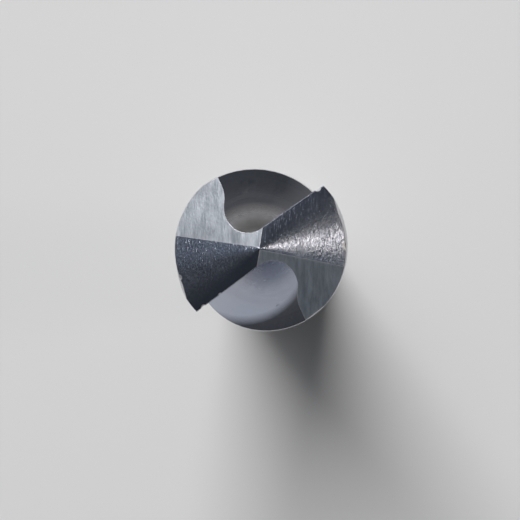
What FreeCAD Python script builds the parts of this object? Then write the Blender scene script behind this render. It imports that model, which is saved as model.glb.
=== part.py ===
import FreeCAD, Part
import math
import os

from FreeCAD import Placement, Rotation, Vector

# A solid-carbide twist drill with two right-hand flutes, a four-facet point and a plain straight shank.
# Millimetres. The drill stands on its shank end: +Z runs from the shank to the point, the origin is the
# centre of the shank end, and the first lip lies parallel to +X on its +Y side.

# Driving dimensions: rod. The back taper is the diameter lost per millimetre behind the point.
drill_diameter = 10.0
shank_diameter = 10.0
overall_length = 89.0
shank_length = 40.0
shoulder_length = 0.8
shank_chamfer = 0.6
back_taper = 0.001

# Driving dimensions: point
point_angle = 140.0
primary_relief_angle = 8.0
secondary_relief_angle = 20.0
first_crease_angle = 47.2
second_crease_angle = 44.2
crease_setback = 0.065

# Driving dimensions: flutes. Directions are turned from the lip, at the level of the point's centre. A
# heel relief is how far the edge of the heel, across the flute from its lip, lies inside the drill's radius.
flute_length = 47.0
helix_angle = 30.0
web_thickness = 1.58
web_taper = 0.016
wall_start = 0.7
root_radius = 1.5
heel_radius = 1.3
flank_direction = 56.5
heel_direction = 99.0
first_heel_relief = 0.42
second_heel_relief = 0.22
heel_flat_width = 1.3
lift_direction = 80.0
flute_wheel_radius = 35.0

# Grinding error: both flutes are ground about an axis that lies this far off the rod's
flute_offset = Vector(0.09, 0.06, 0)

# Driving dimensions: lands
margin_width = 0.85
clearance_depth = 0.2
step_undercut = 0.07
clearance_length = 28.0
clearance_wheel_radius = 30.0

# Damage. A lip chip is (distance of its middle from the corner, length along the lip, depth).
first_lip_chips = [(0.14, 0.3, 0.06), (0.42, 0.44, 0.14), (1.12, 0.16, 0.03)]
second_lip_chips = [(0.35, 0.3, 0.07), (1.54, 0.2, 0.05)]
# A rim chip is (angle behind the lip, length, depth).
first_rim_chips = [(33.0, 0.5, 0.05), (47.0, 0.16, 0.04)]
second_rim_chips = [(16.5, 0.32, 0.09)]

# What follows from the dimensions
drill_radius = drill_diameter / 2
shank_radius = shank_diameter / 2
lead = math.pi * drill_diameter / math.tan(math.radians(helix_angle))
half_web = web_thickness / 2
lip_fall = 1 / math.tan(math.radians(point_angle / 2))
primary_rise = math.tan(math.radians(primary_relief_angle))
secondary_rise = math.tan(math.radians(secondary_relief_angle))
rise_gain = secondary_rise - primary_rise
first_secondary_fall = lip_fall - rise_gain * math.tan(math.radians(first_crease_angle))
second_secondary_fall = lip_fall - rise_gain * math.tan(math.radians(second_crease_angle))
corner_x = math.sqrt(drill_radius**2 - half_web**2)
point_centre = Vector(0, 0, overall_length)

# Cutters reach this far past what they cut, and their sections turn by this much from one to the next
overcut = 1.0
cutter_rim = drill_radius + shank_radius
section_turn = 12.0


def polar(radius, degrees):
    angle = math.radians(degrees)
    return Vector(radius * math.cos(angle), radius * math.sin(angle), 0)


def angle_of(point):
    return math.degrees(math.atan2(point.y, point.x))


def arc_about(centre, radius, start, end):
    points = [centre + polar(radius, angle) for angle in (start, (start + end) / 2, end)]
    return Part.Arc(*points).toShape()


def out_to(radius, start, degrees):
    """Where a line from start in this direction meets the circle of this radius round the axis."""
    way = polar(1.0, degrees)
    along = start.dot(way)
    return start + way * (math.sqrt(along**2 - start.dot(start) + radius**2) - along)


def opposite(shape):
    """A copy half a turn round the axis."""
    copy = shape.copy()
    copy.rotate(Vector(), Vector(0, 0, 1), 180)
    return copy


def lip_angle(x):
    """How far the helix turns between the lip at x and the level of the point's centre, in degrees."""
    depth = lip_fall * x - primary_rise * half_web
    return 360 * depth / lead


def lip_trace(x):
    """The point of the lip at x, carried along the helix to the level of the point's centre."""
    return Rotation(Vector(0, 0, 1), lip_angle(x)).multVec(Vector(x, half_web, 0))


def wheel_lift(distance, wheel_radius):
    """How far a grinding wheel has left the work at this distance past the end of its straight travel."""
    travel = min(max(distance, 0.0), wheel_radius)
    return wheel_radius - math.sqrt(wheel_radius**2 - travel**2)


def wheel_travel(lift, wheel_radius):
    """The distance in which a grinding wheel lifts by this much."""
    return math.sqrt(2 * wheel_radius * lift - lift**2)


def helical_cutter(section, bottom_depth):
    """A solid through the sections from above the point down to bottom_depth, turned with the helix."""
    step_count = math.ceil((bottom_depth + overcut) * 360 / lead / section_turn)
    step = (bottom_depth + overcut) / step_count
    outlines = []
    for i in range(step_count + 1):
        depth = i * step - overcut
        outline = section(depth)
        outline.rotate(Vector(), Vector(0, 0, 1), -360 * depth / lead)
        outline.translate(point_centre - Vector(0, 0, depth))
        outlines.append(outline)
    return Part.makeLoft(outlines, True, False, False, 3)


# Flute: a wall that makes the lip straight, a round root, a rounded heel and a flat that relieves the
# heel's edge. Towards the shank its inside lifts with the growing web, and at its end all of it lifts
# with the wheel. The wall starts at wall_start, measured along the lip.
corner = lip_trace(corner_x)
corner_angle = angle_of(corner)
root_start = lip_trace(wall_start)
lip_twist = math.radians(360 * lip_fall / lead)
wall_direction = lip_angle(wall_start) + angle_of(Vector(1 - lip_twist * half_web, lip_twist * wall_start, 0))
root_centre = root_start + polar(root_radius, wall_direction + 90)
root_end = root_centre + polar(root_radius, flank_direction + 90)
heel_centre = root_end + polar(heel_radius, flank_direction + 90)
heel_end = heel_centre + polar(heel_radius, heel_direction - 90)
heel_angle = angle_of(out_to(drill_radius, heel_end, heel_direction))
heel_flat_angle = heel_angle + math.degrees(heel_flat_width / drill_radius)
heel_flat_foot = polar(drill_radius - clearance_depth, heel_flat_angle)
opening_middle = (corner_angle + heel_angle) / 2

wall_chord = angle_of(corner - root_start)
lift_way = polar(1.0, lift_direction)
wall_distance = corner.dot(polar(1.0, wall_chord + 90))
flute_lift = (drill_radius - wall_distance) / lift_way.dot(polar(1.0, wall_chord + 90))
straight_length = flute_length - wheel_travel(flute_lift, flute_wheel_radius)


def flute_section(depth, heel_relief):
    web_lift = lift_way * depth * web_taper / 2
    wall_span = cutter_rim - wall_start
    wall_points = [lip_trace(wall_start + wall_span * share) + web_lift for share in (1, 0.75, 0.5, 0.25, 0)]
    wall = Part.BSplineCurve()
    wall.interpolate(wall_points)
    heel_foot = heel_end + web_lift
    heel_edge = out_to(drill_radius - heel_relief, heel_foot, heel_direction)
    flat_end = out_to(cutter_rim, heel_edge, angle_of(heel_flat_foot - heel_edge))
    rim_middle = polar(2 * cutter_rim, opening_middle)
    edges = [
        wall.toShape(),
        arc_about(root_centre + web_lift, root_radius, wall_direction - 90, flank_direction - 270),
        arc_about(heel_centre + web_lift, heel_radius, flank_direction - 90, heel_direction - 90),
        Part.makeLine(heel_foot, heel_edge),
        Part.makeLine(heel_edge, flat_end),
        Part.Arc(flat_end, rim_middle, wall_points[0]).toShape(),
    ]
    outline = Part.Wire(edges)
    outline.translate(lift_way * wheel_lift(depth - straight_length, flute_wheel_radius))
    return outline


# Body clearance: behind the margin the land steps down along a flat to a smaller round.
# A ring round the body is ground away, except where a helical guard covers the margin and its corner.
body_radius = drill_radius - clearance_depth
step_foot_radius = body_radius - step_undercut
margin_end = corner_angle - math.degrees(margin_width / drill_radius)
step_foot_angle = margin_end - math.degrees(math.acos(step_foot_radius / drill_radius))
clearance_fade = wheel_travel(clearance_depth + overcut, clearance_wheel_radius)


def guard_section(depth):
    foot = polar(step_foot_radius, step_foot_angle)
    outside = foot + polar(cutter_rim, step_foot_angle + 90)
    in_flute = polar(root_centre.Length + root_radius, opening_middle)
    return Part.makePolygon([foot, outside, in_flute, foot])


def clearance_ring():
    straight_end = overall_length - clearance_length
    above_point = overall_length + overcut / 2
    fading = []
    for way in (0, clearance_fade / 2, clearance_fade):
        radius = body_radius + wheel_lift(way, clearance_wheel_radius)
        fading.append(Vector(0, radius, straight_end - way))
    inner_top = Vector(0, body_radius, above_point)
    outer_top = Vector(0, fading[2].y, above_point)
    edges = [
        Part.makeLine(inner_top, fading[0]),
        Part.Arc(*fading).toShape(),
        Part.makeLine(fading[2], outer_top),
        Part.makeLine(outer_top, inner_top),
    ]
    return Part.Face(Part.Wire(edges)).revolve(Vector(), Vector(0, 0, 1), 360)


# Point: each facet is ground away above a plane that falls along the lip and behind it.
def facet_cut(fall, rise, setback):
    size = 4 * cutter_rim
    block = Part.makeBox(size, size, size, Vector(-size / 2, -size / 2, 0))
    tilt = Rotation(Vector(0, 0, 1), Vector(fall, -rise, 1))
    block.Placement = Placement(point_centre + Vector(0, 0, setback), tilt)
    return block


def secondary_cut(fall):
    """A secondary facet with this fall along the lip, its crease set back from the point's centre."""
    return facet_cut(fall, secondary_rise, crease_setback * math.hypot(lip_fall - fall, rise_gain))


# Chips: the brittle edge breaks out in small round scoops.
def scoop(edge_point, outward, length, depth):
    radius = (length**2 / 4 + depth**2) / (2 * depth)
    outward.normalize()
    return Part.makeSphere(radius, edge_point + outward * (radius - depth))


def lip_scoop(offset, from_corner, length, depth):
    lip = Vector(corner_x - from_corner, half_web, 0) + offset
    edge_point = point_centre + lip + Vector(0, 0, primary_rise * lip.y - lip_fall * lip.x)
    return scoop(edge_point, Vector(0, 1, 0.8), length, depth)


def rim_scoop(behind_lip, length, depth):
    rim = polar(body_radius, -behind_lip)
    edge_point = point_centre + rim + Vector(0, 0, primary_rise * rim.y - lip_fall * rim.x)
    return scoop(edge_point, polar(1.0, -behind_lip) + Vector(0, 0, 0.8), length, depth)


# Rod: shank with its chamfered end, shoulder and tapered body, in one turned profile
shoulder_top = shank_length + shoulder_length
body_foot_radius = drill_radius - back_taper / 2 * (overall_length - shoulder_top)
profile = [
    Vector(0, 0, 0),
    Vector(shank_radius - shank_chamfer, 0, 0),
    Vector(shank_radius, 0, shank_chamfer),
    Vector(shank_radius, 0, shank_length),
    Vector(body_foot_radius, 0, shoulder_top),
    Vector(drill_radius, 0, overall_length),
    Vector(0, 0, overall_length),
    Vector(0, 0, 0),
]
rod = Part.Face(Part.makePolygon(profile)).revolve(Vector(), Vector(0, 0, 1), 360)

first_flute = helical_cutter(lambda depth: flute_section(depth, first_heel_relief), flute_length + overcut)
second_flute = helical_cutter(lambda depth: flute_section(depth, second_heel_relief), flute_length + overcut)
flutes = [first_flute, opposite(second_flute)]
for cutter in flutes:
    cutter.translate(flute_offset)
guard = helical_cutter(guard_section, clearance_length + clearance_fade + overcut)
clearance = clearance_ring().cut(guard).cut(opposite(guard))
primary = facet_cut(lip_fall, primary_rise, 0.0)
first_secondary = secondary_cut(first_secondary_fall)
second_secondary = opposite(secondary_cut(second_secondary_fall))

scoops = [lip_scoop(flute_offset, *size) for size in first_lip_chips]
scoops += [rim_scoop(*size) for size in first_rim_chips]
scoops += [opposite(lip_scoop(-flute_offset, *size)) for size in second_lip_chips]
scoops += [opposite(rim_scoop(*size)) for size in second_rim_chips]

drill = rod
facets = [primary, opposite(primary), first_secondary, second_secondary]
for cutter in [*flutes, clearance, *facets, *scoops]:
    drill = drill.cut(cutter)
twist_drill = drill.Solids[0]

os.makedirs("parts", exist_ok=True)
twist_drill.exportStep("parts/twist_drill.step")
print("faces", len(twist_drill.Faces), "valid", twist_drill.isValid(), "volume", round(twist_drill.Volume, 1))
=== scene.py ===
import math

import bpy
from mathutils import Matrix, Vector


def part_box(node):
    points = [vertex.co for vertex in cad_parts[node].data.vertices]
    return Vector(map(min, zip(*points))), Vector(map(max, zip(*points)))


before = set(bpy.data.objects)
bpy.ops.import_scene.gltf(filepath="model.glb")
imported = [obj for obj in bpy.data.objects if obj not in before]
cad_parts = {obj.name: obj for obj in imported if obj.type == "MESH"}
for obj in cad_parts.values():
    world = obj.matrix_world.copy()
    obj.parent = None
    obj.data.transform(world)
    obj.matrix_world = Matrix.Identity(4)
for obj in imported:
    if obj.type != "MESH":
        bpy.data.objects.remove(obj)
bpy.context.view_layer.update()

# Drill: one rod of cemented tungsten carbide, with its flutes, lands, shank and four-facet point ground
# in it by diamond wheels. The solid keeps its form, and each ground surface gets its own wheel's finish.
# Lengths on the solid are in metres, and those in the finishes in millimetres.
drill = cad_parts["twist_drill"]
drill_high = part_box("twist_drill")[1]
tip_height = drill_high.z
drill_radius = drill_high.x
point_height = 0.0024
shank_top = 0.0405
land_depth = 0.0004
chip_face_area = 3e-9

# The least share of a face's direction that points up on the point's facets, along y on the secondary
# ones, and out from the axis on the lands
facet_up_share = 0.85
secondary_y_share = 0.24
land_outward_share = 0.86

PRIMARY, SECONDARY, FLUTE, LAND, SHANK, CHIP = range(6)


def surface_of(face):
    """The ground surface that a face of the solid belongs to."""
    outward = face.normal
    from_axis = math.hypot(face.center.x, face.center.y)
    at_point = face.center.z > tip_height - point_height
    if at_point and outward.z > facet_up_share:
        return SECONDARY if abs(outward.y) > secondary_y_share else PRIMARY
    if at_point and face.area < chip_face_area:
        return CHIP
    if face.center.z < shank_top:
        return SHANK
    outward_share = (outward.x * face.center.x + outward.y * face.center.y) / from_axis
    if outward_share > land_outward_share and from_axis > drill_radius - land_depth:
        return LAND
    return FLUTE


def put(tree, kind, *sources, **settings):
    """A node with these settings, whose first inputs take the given values or sockets."""
    made = tree.nodes.new("ShaderNode" + kind)
    for name, value in settings.items():
        setattr(made, name, value)
    for socket, source in zip(made.inputs, sources):
        if isinstance(source, bpy.types.NodeSocket):
            tree.links.new(source, socket)
        elif source is not None:
            socket.default_value = source
    return made.outputs[0]


def stretched(tree, position, scale):
    return put(tree, "VectorMath", position, scale, operation="MULTIPLY")


def shifted(tree, position, back_by):
    return put(tree, "VectorMath", position, back_by, operation="SUBTRACT")


def turned(tree, position, angle):
    return put(tree, "VectorRotate", position, None, None, angle, rotation_type="Z_AXIS")


def noise(tree, position, repeats, detail=2.0, roughness=0.5):
    """Noise with this many repeats a millimetre along each axis."""
    return put(tree, "TexNoise", stretched(tree, position, repeats), None, 1.0, detail, roughness)


def ranged(tree, value, low, high, from_low=0.3, from_high=0.7):
    """Low up to where the value is from_low, high from where it is from_high, and evenly between them."""
    return put(tree, "MapRange", value, from_low, from_high, low, high)


def calculate(tree, operation, *values):
    return put(tree, "Math", *values, operation=operation)


def product(tree, first, second):
    return calculate(tree, "MULTIPLY", first, second)


def mixed(tree, share, low, high):
    """A colour between two others, each a socket or a red, green and blue."""
    mix = tree.nodes.new("ShaderNodeMix")
    mix.data_type = "RGBA"
    tree.links.new(share, mix.inputs["Factor"])
    colour_inputs = [socket for socket in mix.inputs if socket.type == "RGBA"]
    for socket, source in zip(colour_inputs, (low, high)):
        if isinstance(source, bpy.types.NodeSocket):
            tree.links.new(source, socket)
        else:
            socket.default_value = (*source, 1)
    return next(socket for socket in mix.outputs if socket.type == "RGBA")


def coordinates_of(tree, position):
    split = tree.nodes.new("ShaderNodeSeparateXYZ")
    tree.links.new(position, split.inputs[0])
    return split.outputs


def length_of(tree, x, y):
    square = calculate(tree, "ADD", product(tree, x, x), product(tree, y, y))
    return calculate(tree, "SQRT", square)


# A metre in millimetres, the round on each edge, and the width of the highlight painted along a crease
metre = 1000
edge_round = 0.012
crease_width = 0.05
bevel_rays = 8

# How alike the plain direction and the rounded one are: where a crease is full and where it begins to
# show, and where an edge is too sharp for the painted highlight and where it is blunt enough
crease_likeness = (0.991, 0.999)
sharp_likeness = (0.94, 0.985)


class Finish:
    """One surface of the drill. Patterns read the drill's own position, in millimetres."""

    def __init__(self, name):
        material = bpy.data.materials.new(name)
        material.use_nodes = True
        self.tree = material.node_tree
        self.shader = self.tree.nodes["Principled BSDF"]
        self.shader.inputs["Metallic"].default_value = 1
        coordinates = self.tree.nodes.new("ShaderNodeTexCoord")
        self.position = stretched(self.tree, coordinates.outputs["Object"], (metre, metre, metre))
        self.normal = None
        drill.data.materials.append(material)

    def feed(self, name, source):
        self.tree.links.new(source, self.shader.inputs[name])

    def source_of(self, name):
        return self.shader.inputs[name].links[0].from_socket

    def colour(self, share, dark, light):
        self.feed("Base Color", mixed(self.tree, share, dark, light))

    def roughness(self, share, low, high):
        self.feed("Roughness", ranged(self.tree, share, low, high))

    def lay_over(self, share, colour, roughness, metal=True):
        """Another surface over this one, as far as share says."""
        self.feed("Base Color", mixed(self.tree, share, self.source_of("Base Color"), colour))
        self.feed("Roughness", ranged(self.tree, share, self.source_of("Roughness"), roughness, 0.0, 1.0))
        if not metal:
            bare = calculate(self.tree, "SUBTRACT", 1.0, share)
            if self.shader.inputs["Metallic"].links:
                bare = product(self.tree, bare, self.source_of("Metallic"))
            self.feed("Metallic", bare)

    def rounded(self, radius):
        """The surface's direction, as if its edges had a round of this radius."""
        bevel = self.tree.nodes.new("ShaderNodeBevel")
        bevel.samples = bevel_rays
        bevel.inputs["Radius"].default_value = radius / metre
        return bevel.outputs["Normal"]

    def honed_edges(self):
        """The small round that honing leaves on every edge."""
        self.normal = self.rounded(edge_round)

    def painted_crease_highlights(self):
        """Where two facets meet, a pale line is painted along the crease as its highlight. Sharper edges
        hardly get it.
        """
        geometry = self.tree.nodes.new("ShaderNodeNewGeometry")
        compared = self.tree.nodes.new("ShaderNodeVectorMath")
        compared.operation = "DOT_PRODUCT"
        self.tree.links.new(self.rounded(crease_width), compared.inputs[0])
        self.tree.links.new(geometry.outputs["Normal"], compared.inputs[1])
        likeness = compared.outputs["Value"]
        bent = ranged(self.tree, likeness, 1.0, 0.0, *crease_likeness)
        blunt = ranged(self.tree, likeness, 0.05, 0.8, *sharp_likeness)
        # Painted highlight: a pale, matt line laid over each mild crease
        self.lay_over(product(self.tree, bent, blunt), (0.52, 0.49, 0.50), 0.5, metal=False)

    def relief(self, height, millimetres):
        """Turns the surface as if it rose by height, times this many millimetres."""
        bump = self.tree.nodes.new("ShaderNodeBump")
        bump.inputs["Distance"].default_value = millimetres / metre
        self.tree.links.new(height, bump.inputs["Height"])
        if self.normal:
            self.tree.links.new(self.normal, bump.inputs["Normal"])
        self.normal = bump.outputs["Normal"]
        self.feed("Normal", self.normal)


# Angles about the drill's axis: of the wheel's lines, of a primary facet's middle, and then, from that
# middle towards the lip, of the painted shade behind the lip, of the dull band and of the curved part's end
wheel_direction = math.radians(-54.1)
facet_middle = math.radians(15)
painted_lip_shade = (0.1, 0.38)
band_fade = (0.0, 0.3)
cone_end = math.radians(24)
cone_relief = -0.205
band_radius = (4.70, 4.80)
speck_centre = (3.960, -2.641, 0)
speck_turn = math.radians(33.7)
speck_stretch = (7, 3.6, 0)
speck_edge = (0.7, 1.1)


def primary_finish():
    """Relief behind a lip: the wheel swings a little about the axis as it grinds, so the facet is faintly
    conical, with short lines across it from the diamond grains. Its speckle is painted glints, and
    painted shade darkens it close behind the lip."""
    finish = Finish("ground_primary_facet")
    tree = finish.tree
    along_wheel = turned(tree, finish.position, wheel_direction)
    streaks = noise(tree, along_wheel, (3, 9, 3), 3, 0.6)
    scratches = ranged(tree, noise(tree, along_wheel, (2.5, 12, 3), 1), 0, 1, 0.54, 0.64)
    grains = noise(tree, along_wheel, (11, 15, 11), 2, 0.7)
    blotches = noise(tree, finish.position, (0.7, 0.7, 0.7), 2)
    x, y = coordinates_of(tree, finish.position)[:2]
    from_axis = length_of(tree, x, y)
    facet_angle = calculate(tree, "ARCTANGENT", calculate(tree, "DIVIDE", y, x))
    off_middle = calculate(tree, "ADD", facet_angle, facet_middle)
    # Painted shade: the facet's colour darkens close behind the lip
    painted_shade_behind_lip = ranged(tree, off_middle, 1.0, 0.1, *painted_lip_shade)
    # Painted glints: bright speckle in the colour, dimmed by the painted shade behind the lip
    glints_and_lip_shade = product(tree, ranged(tree, grains, 0, 1, 0.35, 0.7), painted_shade_behind_lip)
    finish.colour(glints_and_lip_shade, (0.24, 0.27, 0.35), (0.68, 0.72, 0.82))
    finish.roughness(blotches, 0.23, 0.28)

    # A dull band at the rim of one of the two facets, away from its corner
    outermost = ranged(tree, from_axis, 0, 1, *band_radius)
    one_side = calculate(tree, "GREATER_THAN", x, 0.0)
    away_from_corner = ranged(tree, off_middle, 0.75, 0, *band_fade)
    dull_rim = product(tree, outermost, product(tree, one_side, away_from_corner))
    finish.lay_over(dull_rim, (0.36, 0.36, 0.34), 0.5)

    # A pale speck with a ragged outline in that band
    speck = turned(tree, shifted(tree, finish.position, speck_centre), speck_turn)
    speck_x, speck_y = coordinates_of(tree, stretched(tree, speck, speck_stretch))[:2]
    from_speck = length_of(tree, speck_x, speck_y)
    ragged = calculate(tree, "MULTIPLY_ADD", grains, 1.4, calculate(tree, "SUBTRACT", from_speck, 0.7))
    finish.lay_over(ranged(tree, ragged, 1, 0, *speck_edge), (0.72, 0.68, 0.60), 0.6, metal=False)

    # The cone is a square law about the facet's middle, and goes on straight beyond its end
    finish.painted_crease_highlights()
    finish.honed_edges()
    curved = calculate(tree, "MINIMUM", off_middle, cone_end)
    twice_off = product(tree, off_middle, 2.0)
    cone = product(tree, curved, calculate(tree, "SUBTRACT", twice_off, curved))
    finish.relief(product(tree, cone, from_axis), cone_relief)
    finish.relief(streaks, 0.0012)
    finish.relief(grains, 0.0021)
    finish.relief(scratches, 0.004)


def secondary_finish():
    """Flat clearance behind a primary facet, with cloudy patches drawn out along the wheel's lines."""
    finish = Finish("ground_secondary_facet")
    tree = finish.tree
    along_wheel = turned(tree, finish.position, wheel_direction)
    streaks = noise(tree, along_wheel, (1.5, 9, 3), 3, 0.6)
    grains = noise(tree, along_wheel, (6, 16, 6), 2, 0.6)
    blotches = noise(tree, finish.position, (0.7, 0.7, 0.7), 2)
    patches = noise(tree, along_wheel, (0.8, 3.5, 1), 4, 0.7)
    finish.colour(ranged(tree, patches, 0, 1, 0.35, 0.65), (0.39, 0.42, 0.46), (0.62, 0.65, 0.70))
    finish.roughness(blotches, 0.27, 0.34)
    finish.painted_crease_highlights()
    finish.honed_edges()
    finish.relief(streaks, 0.006)
    finish.relief(grains, 0.005)


helix_angle = math.radians(30)
drill_diameter = 10
turn_per_depth = 2 * math.tan(helix_angle) / drill_diameter

# The painted shade begins at these distances from the axis, in the second flute further out with depth, and
# fades between two depths. The first flute's root, paler with painted light, ends between two distances
# from the axis, and the plain ground surface comes back between the last two depths.
first_shade_start = 2.2
second_shade_start = 2.9
second_shade_slope = 0.16
shade_softness = 0.3
shade_fade_depth = (14, 26)
root_radius = (1.7, 2.9)
plain_depth = (9, 24)


def flute_finish():
    """Flutes ground along the helix. Near the point painted shade darkens them: all over the first
    flute's flank, and in the second only towards the heel's edge. The first flute's root is paler: painted
    light."""
    finish = Finish("ground_flute")
    tree = finish.tree
    x, y, z = coordinates_of(tree, finish.position)
    from_axis = length_of(tree, x, y)
    depth = calculate(tree, "SUBTRACT", tip_height * metre, z)
    unwound = turned(tree, finish.position, product(tree, depth, turn_per_depth))
    lines = noise(tree, unwound, (7, 7, 0.2), 2, 0.6)
    unwound_y = coordinates_of(tree, unwound)[1]
    in_first = calculate(tree, "GREATER_THAN", unwound_y, 0.0)
    # Painted shade: a dark colour over the flanks near the point, all over the first flute, towards the
    # heel's edge in the second
    second_start = calculate(tree, "MULTIPLY_ADD", depth, second_shade_slope, second_shade_start)
    painted_shade_start = ranged(tree, in_first, second_start, first_shade_start, 0.0, 1.0)
    past_start = calculate(tree, "SUBTRACT", from_axis, painted_shade_start)
    painted_shade = ranged(tree, past_start, 0, 1, -shade_softness, shade_softness)
    painted_shade = product(tree, painted_shade, ranged(tree, depth, 1, 0, *shade_fade_depth))
    finish.colour(painted_shade, (0.43, 0.47, 0.57), (0.042, 0.048, 0.060))
    finish.roughness(lines, 0.22, 0.28)
    # Painted light: a paler colour in the first flute's root
    painted_light_in_root = product(tree, in_first, ranged(tree, from_axis, 1, 0, *root_radius))
    finish.lay_over(painted_light_in_root, (0.60, 0.585, 0.56), 0.3)
    finish.lay_over(ranged(tree, depth, 0, 1, *plain_depth), (0.52, 0.53, 0.55), 0.25)
    finish.shader.inputs["Specular Tint"].default_value = (0.7, 0.7, 0.72, 1)
    finish.honed_edges()
    finish.relief(lines, 0.002)


def land_finish():
    """Margins and cleared body, ground round with fine lines about the axis."""
    finish = Finish("ground_land")
    tree = finish.tree
    lines = noise(tree, finish.position, (0.3, 0.3, 12), 3, 0.6)
    finish.colour(ranged(tree, lines, 0, 1), (0.42, 0.43, 0.45), (0.54, 0.55, 0.58))
    finish.roughness(lines, 0.22, 0.32)
    finish.honed_edges()
    finish.relief(lines, 0.003)


def shank_finish():
    """Shank, ground finer than the body."""
    finish = Finish("ground_shank")
    tree = finish.tree
    lines = noise(tree, finish.position, (0.3, 0.3, 14), 3, 0.6)
    finish.colour(ranged(tree, lines, 0, 1), (0.46, 0.47, 0.49), (0.56, 0.57, 0.60))
    finish.roughness(lines, 0.20, 0.28)
    finish.relief(lines, 0.002)


def chip_finish():
    """Bare broken carbide in the chips at the lips and the rim."""
    finish = Finish("broken_edge")
    tree = finish.tree
    grains = noise(tree, finish.position, (30, 30, 30), 2)
    finish.colour(ranged(tree, grains, 0, 1), (0.40, 0.40, 0.42), (0.66, 0.66, 0.68))
    finish.roughness(grains, 0.35, 0.55)
    finish.relief(grains, 0.01)


drill.data.materials.clear()
primary_finish()
secondary_finish()
flute_finish()
land_finish()
shank_finish()
chip_finish()
for face in drill.data.polygons:
    face.material_index = surface_of(face)

# Floor: a plain pale board, painted matt, that the drill stands on.
# It is the background as well, so it reaches far beyond the picture.
bpy.ops.mesh.primitive_plane_add(size=8, location=(0, 0, 0))
floor = bpy.context.object
floor.name = "floor"
board = bpy.data.materials.new("pale_board")
board.use_nodes = True
paint = board.node_tree.nodes["Principled BSDF"]
paint.inputs["Base Color"].default_value = (0.68, 0.675, 0.675, 1)
paint.inputs["Specular IOR Level"].default_value = 0
paint.inputs["Roughness"].default_value = 0.9
floor.data.materials.append(board)

# Camera: close above the point, a little off the drill's axis, as the photograph was taken.
# The picture's right and up are turned about the drill's axis against the frame's.
picture_turn = math.radians(35.92)
picture_right = Vector((math.cos(picture_turn), -math.sin(picture_turn), 0))
picture_up = Vector((math.sin(picture_turn), math.cos(picture_turn), 0))
camera_aside = 0.0024087
camera_below = 0.0017271
camera_height = 0.20062
lean_aside = 0.0214
lean_below = 0.0098
focal_length = 140.4
camera_data = bpy.data.cameras.new("camera")
camera = bpy.data.objects.new("camera", camera_data)
bpy.context.scene.collection.objects.link(camera)
level_place = picture_right * camera_aside - picture_up * camera_below
camera.location = level_place + Vector((0, 0, camera_height))
back = (picture_right * lean_aside - picture_up * lean_below + Vector((0, 0, 1))).normalized()
right = (picture_right - back * picture_right.dot(back)).normalized()
camera.rotation_mode = "QUATERNION"
camera.rotation_quaternion = Matrix((right, back.cross(right), back)).transposed().to_quaternion()
camera_data.sensor_width = 36
camera_data.lens = focal_length
camera_data.clip_start = 0.005
camera_data.clip_end = 20
bpy.context.scene.camera = camera


# Light: a wide soft lamp beyond the top of the picture throws the shadow, a smaller one near overhead
# lightens it, and a narrow warm one at the right makes the bright fan on a primary facet. Two faint
# bluish lamps, at the left and the lower right, and a dim bluish room fill the rest.
def soft_lamp(name, azimuth, tilt, distance, width, height, radiance, colour=(1, 1, 1)):
    """A lamp at this azimuth in the picture, tilted this far from overhead, that faces the point."""
    lamp_data = bpy.data.lights.new(name, "AREA")
    lamp_data.shape = "RECTANGLE"
    lamp_data.size = width
    lamp_data.size_y = height
    lamp_data.energy = radiance * math.pi * width * height
    lamp_data.color = colour
    lamp = bpy.data.objects.new(name, lamp_data)
    bpy.context.scene.collection.objects.link(lamp)
    around = math.radians(azimuth)
    level = picture_right * math.cos(around) + picture_up * math.sin(around)
    way = level * math.sin(math.radians(tilt)) + Vector((0, 0, math.cos(math.radians(tilt))))
    lamp.location = Vector((0, 0, tip_height)) + way * distance
    lamp.rotation_mode = "QUATERNION"
    lamp.rotation_quaternion = way.to_track_quat("Z", "Y")


soft_lamp("key_lamp", azimuth=105, tilt=56, distance=1.6, width=1.15, height=0.8, radiance=12.3)
soft_lamp("overhead_lamp", azimuth=120, tilt=14, distance=1.2, width=0.3, height=0.3, radiance=8.5)
soft_lamp("side_lamp", azimuth=1.5, tilt=43, distance=0.8, width=0.13, height=0.15, radiance=4.4,
          colour=(1, 0.9, 0.8))
soft_lamp("left_lamp", azimuth=165, tilt=38, distance=0.8, width=0.3, height=0.3, radiance=0.28,
          colour=(0.7, 0.82, 1))
soft_lamp("fill_lamp", azimuth=-33, tilt=45, distance=0.8, width=0.5, height=0.5, radiance=0.10,
          colour=(0.7, 0.85, 1))

world = bpy.data.worlds.new("studio")
bpy.context.scene.world = world
world.use_nodes = True
room = world.node_tree.nodes["Background"]
room.inputs["Color"].default_value = (0.85, 0.92, 1.0, 1)
room.inputs["Strength"].default_value = 0.06

bpy.context.scene.view_settings.view_transform = "Standard"
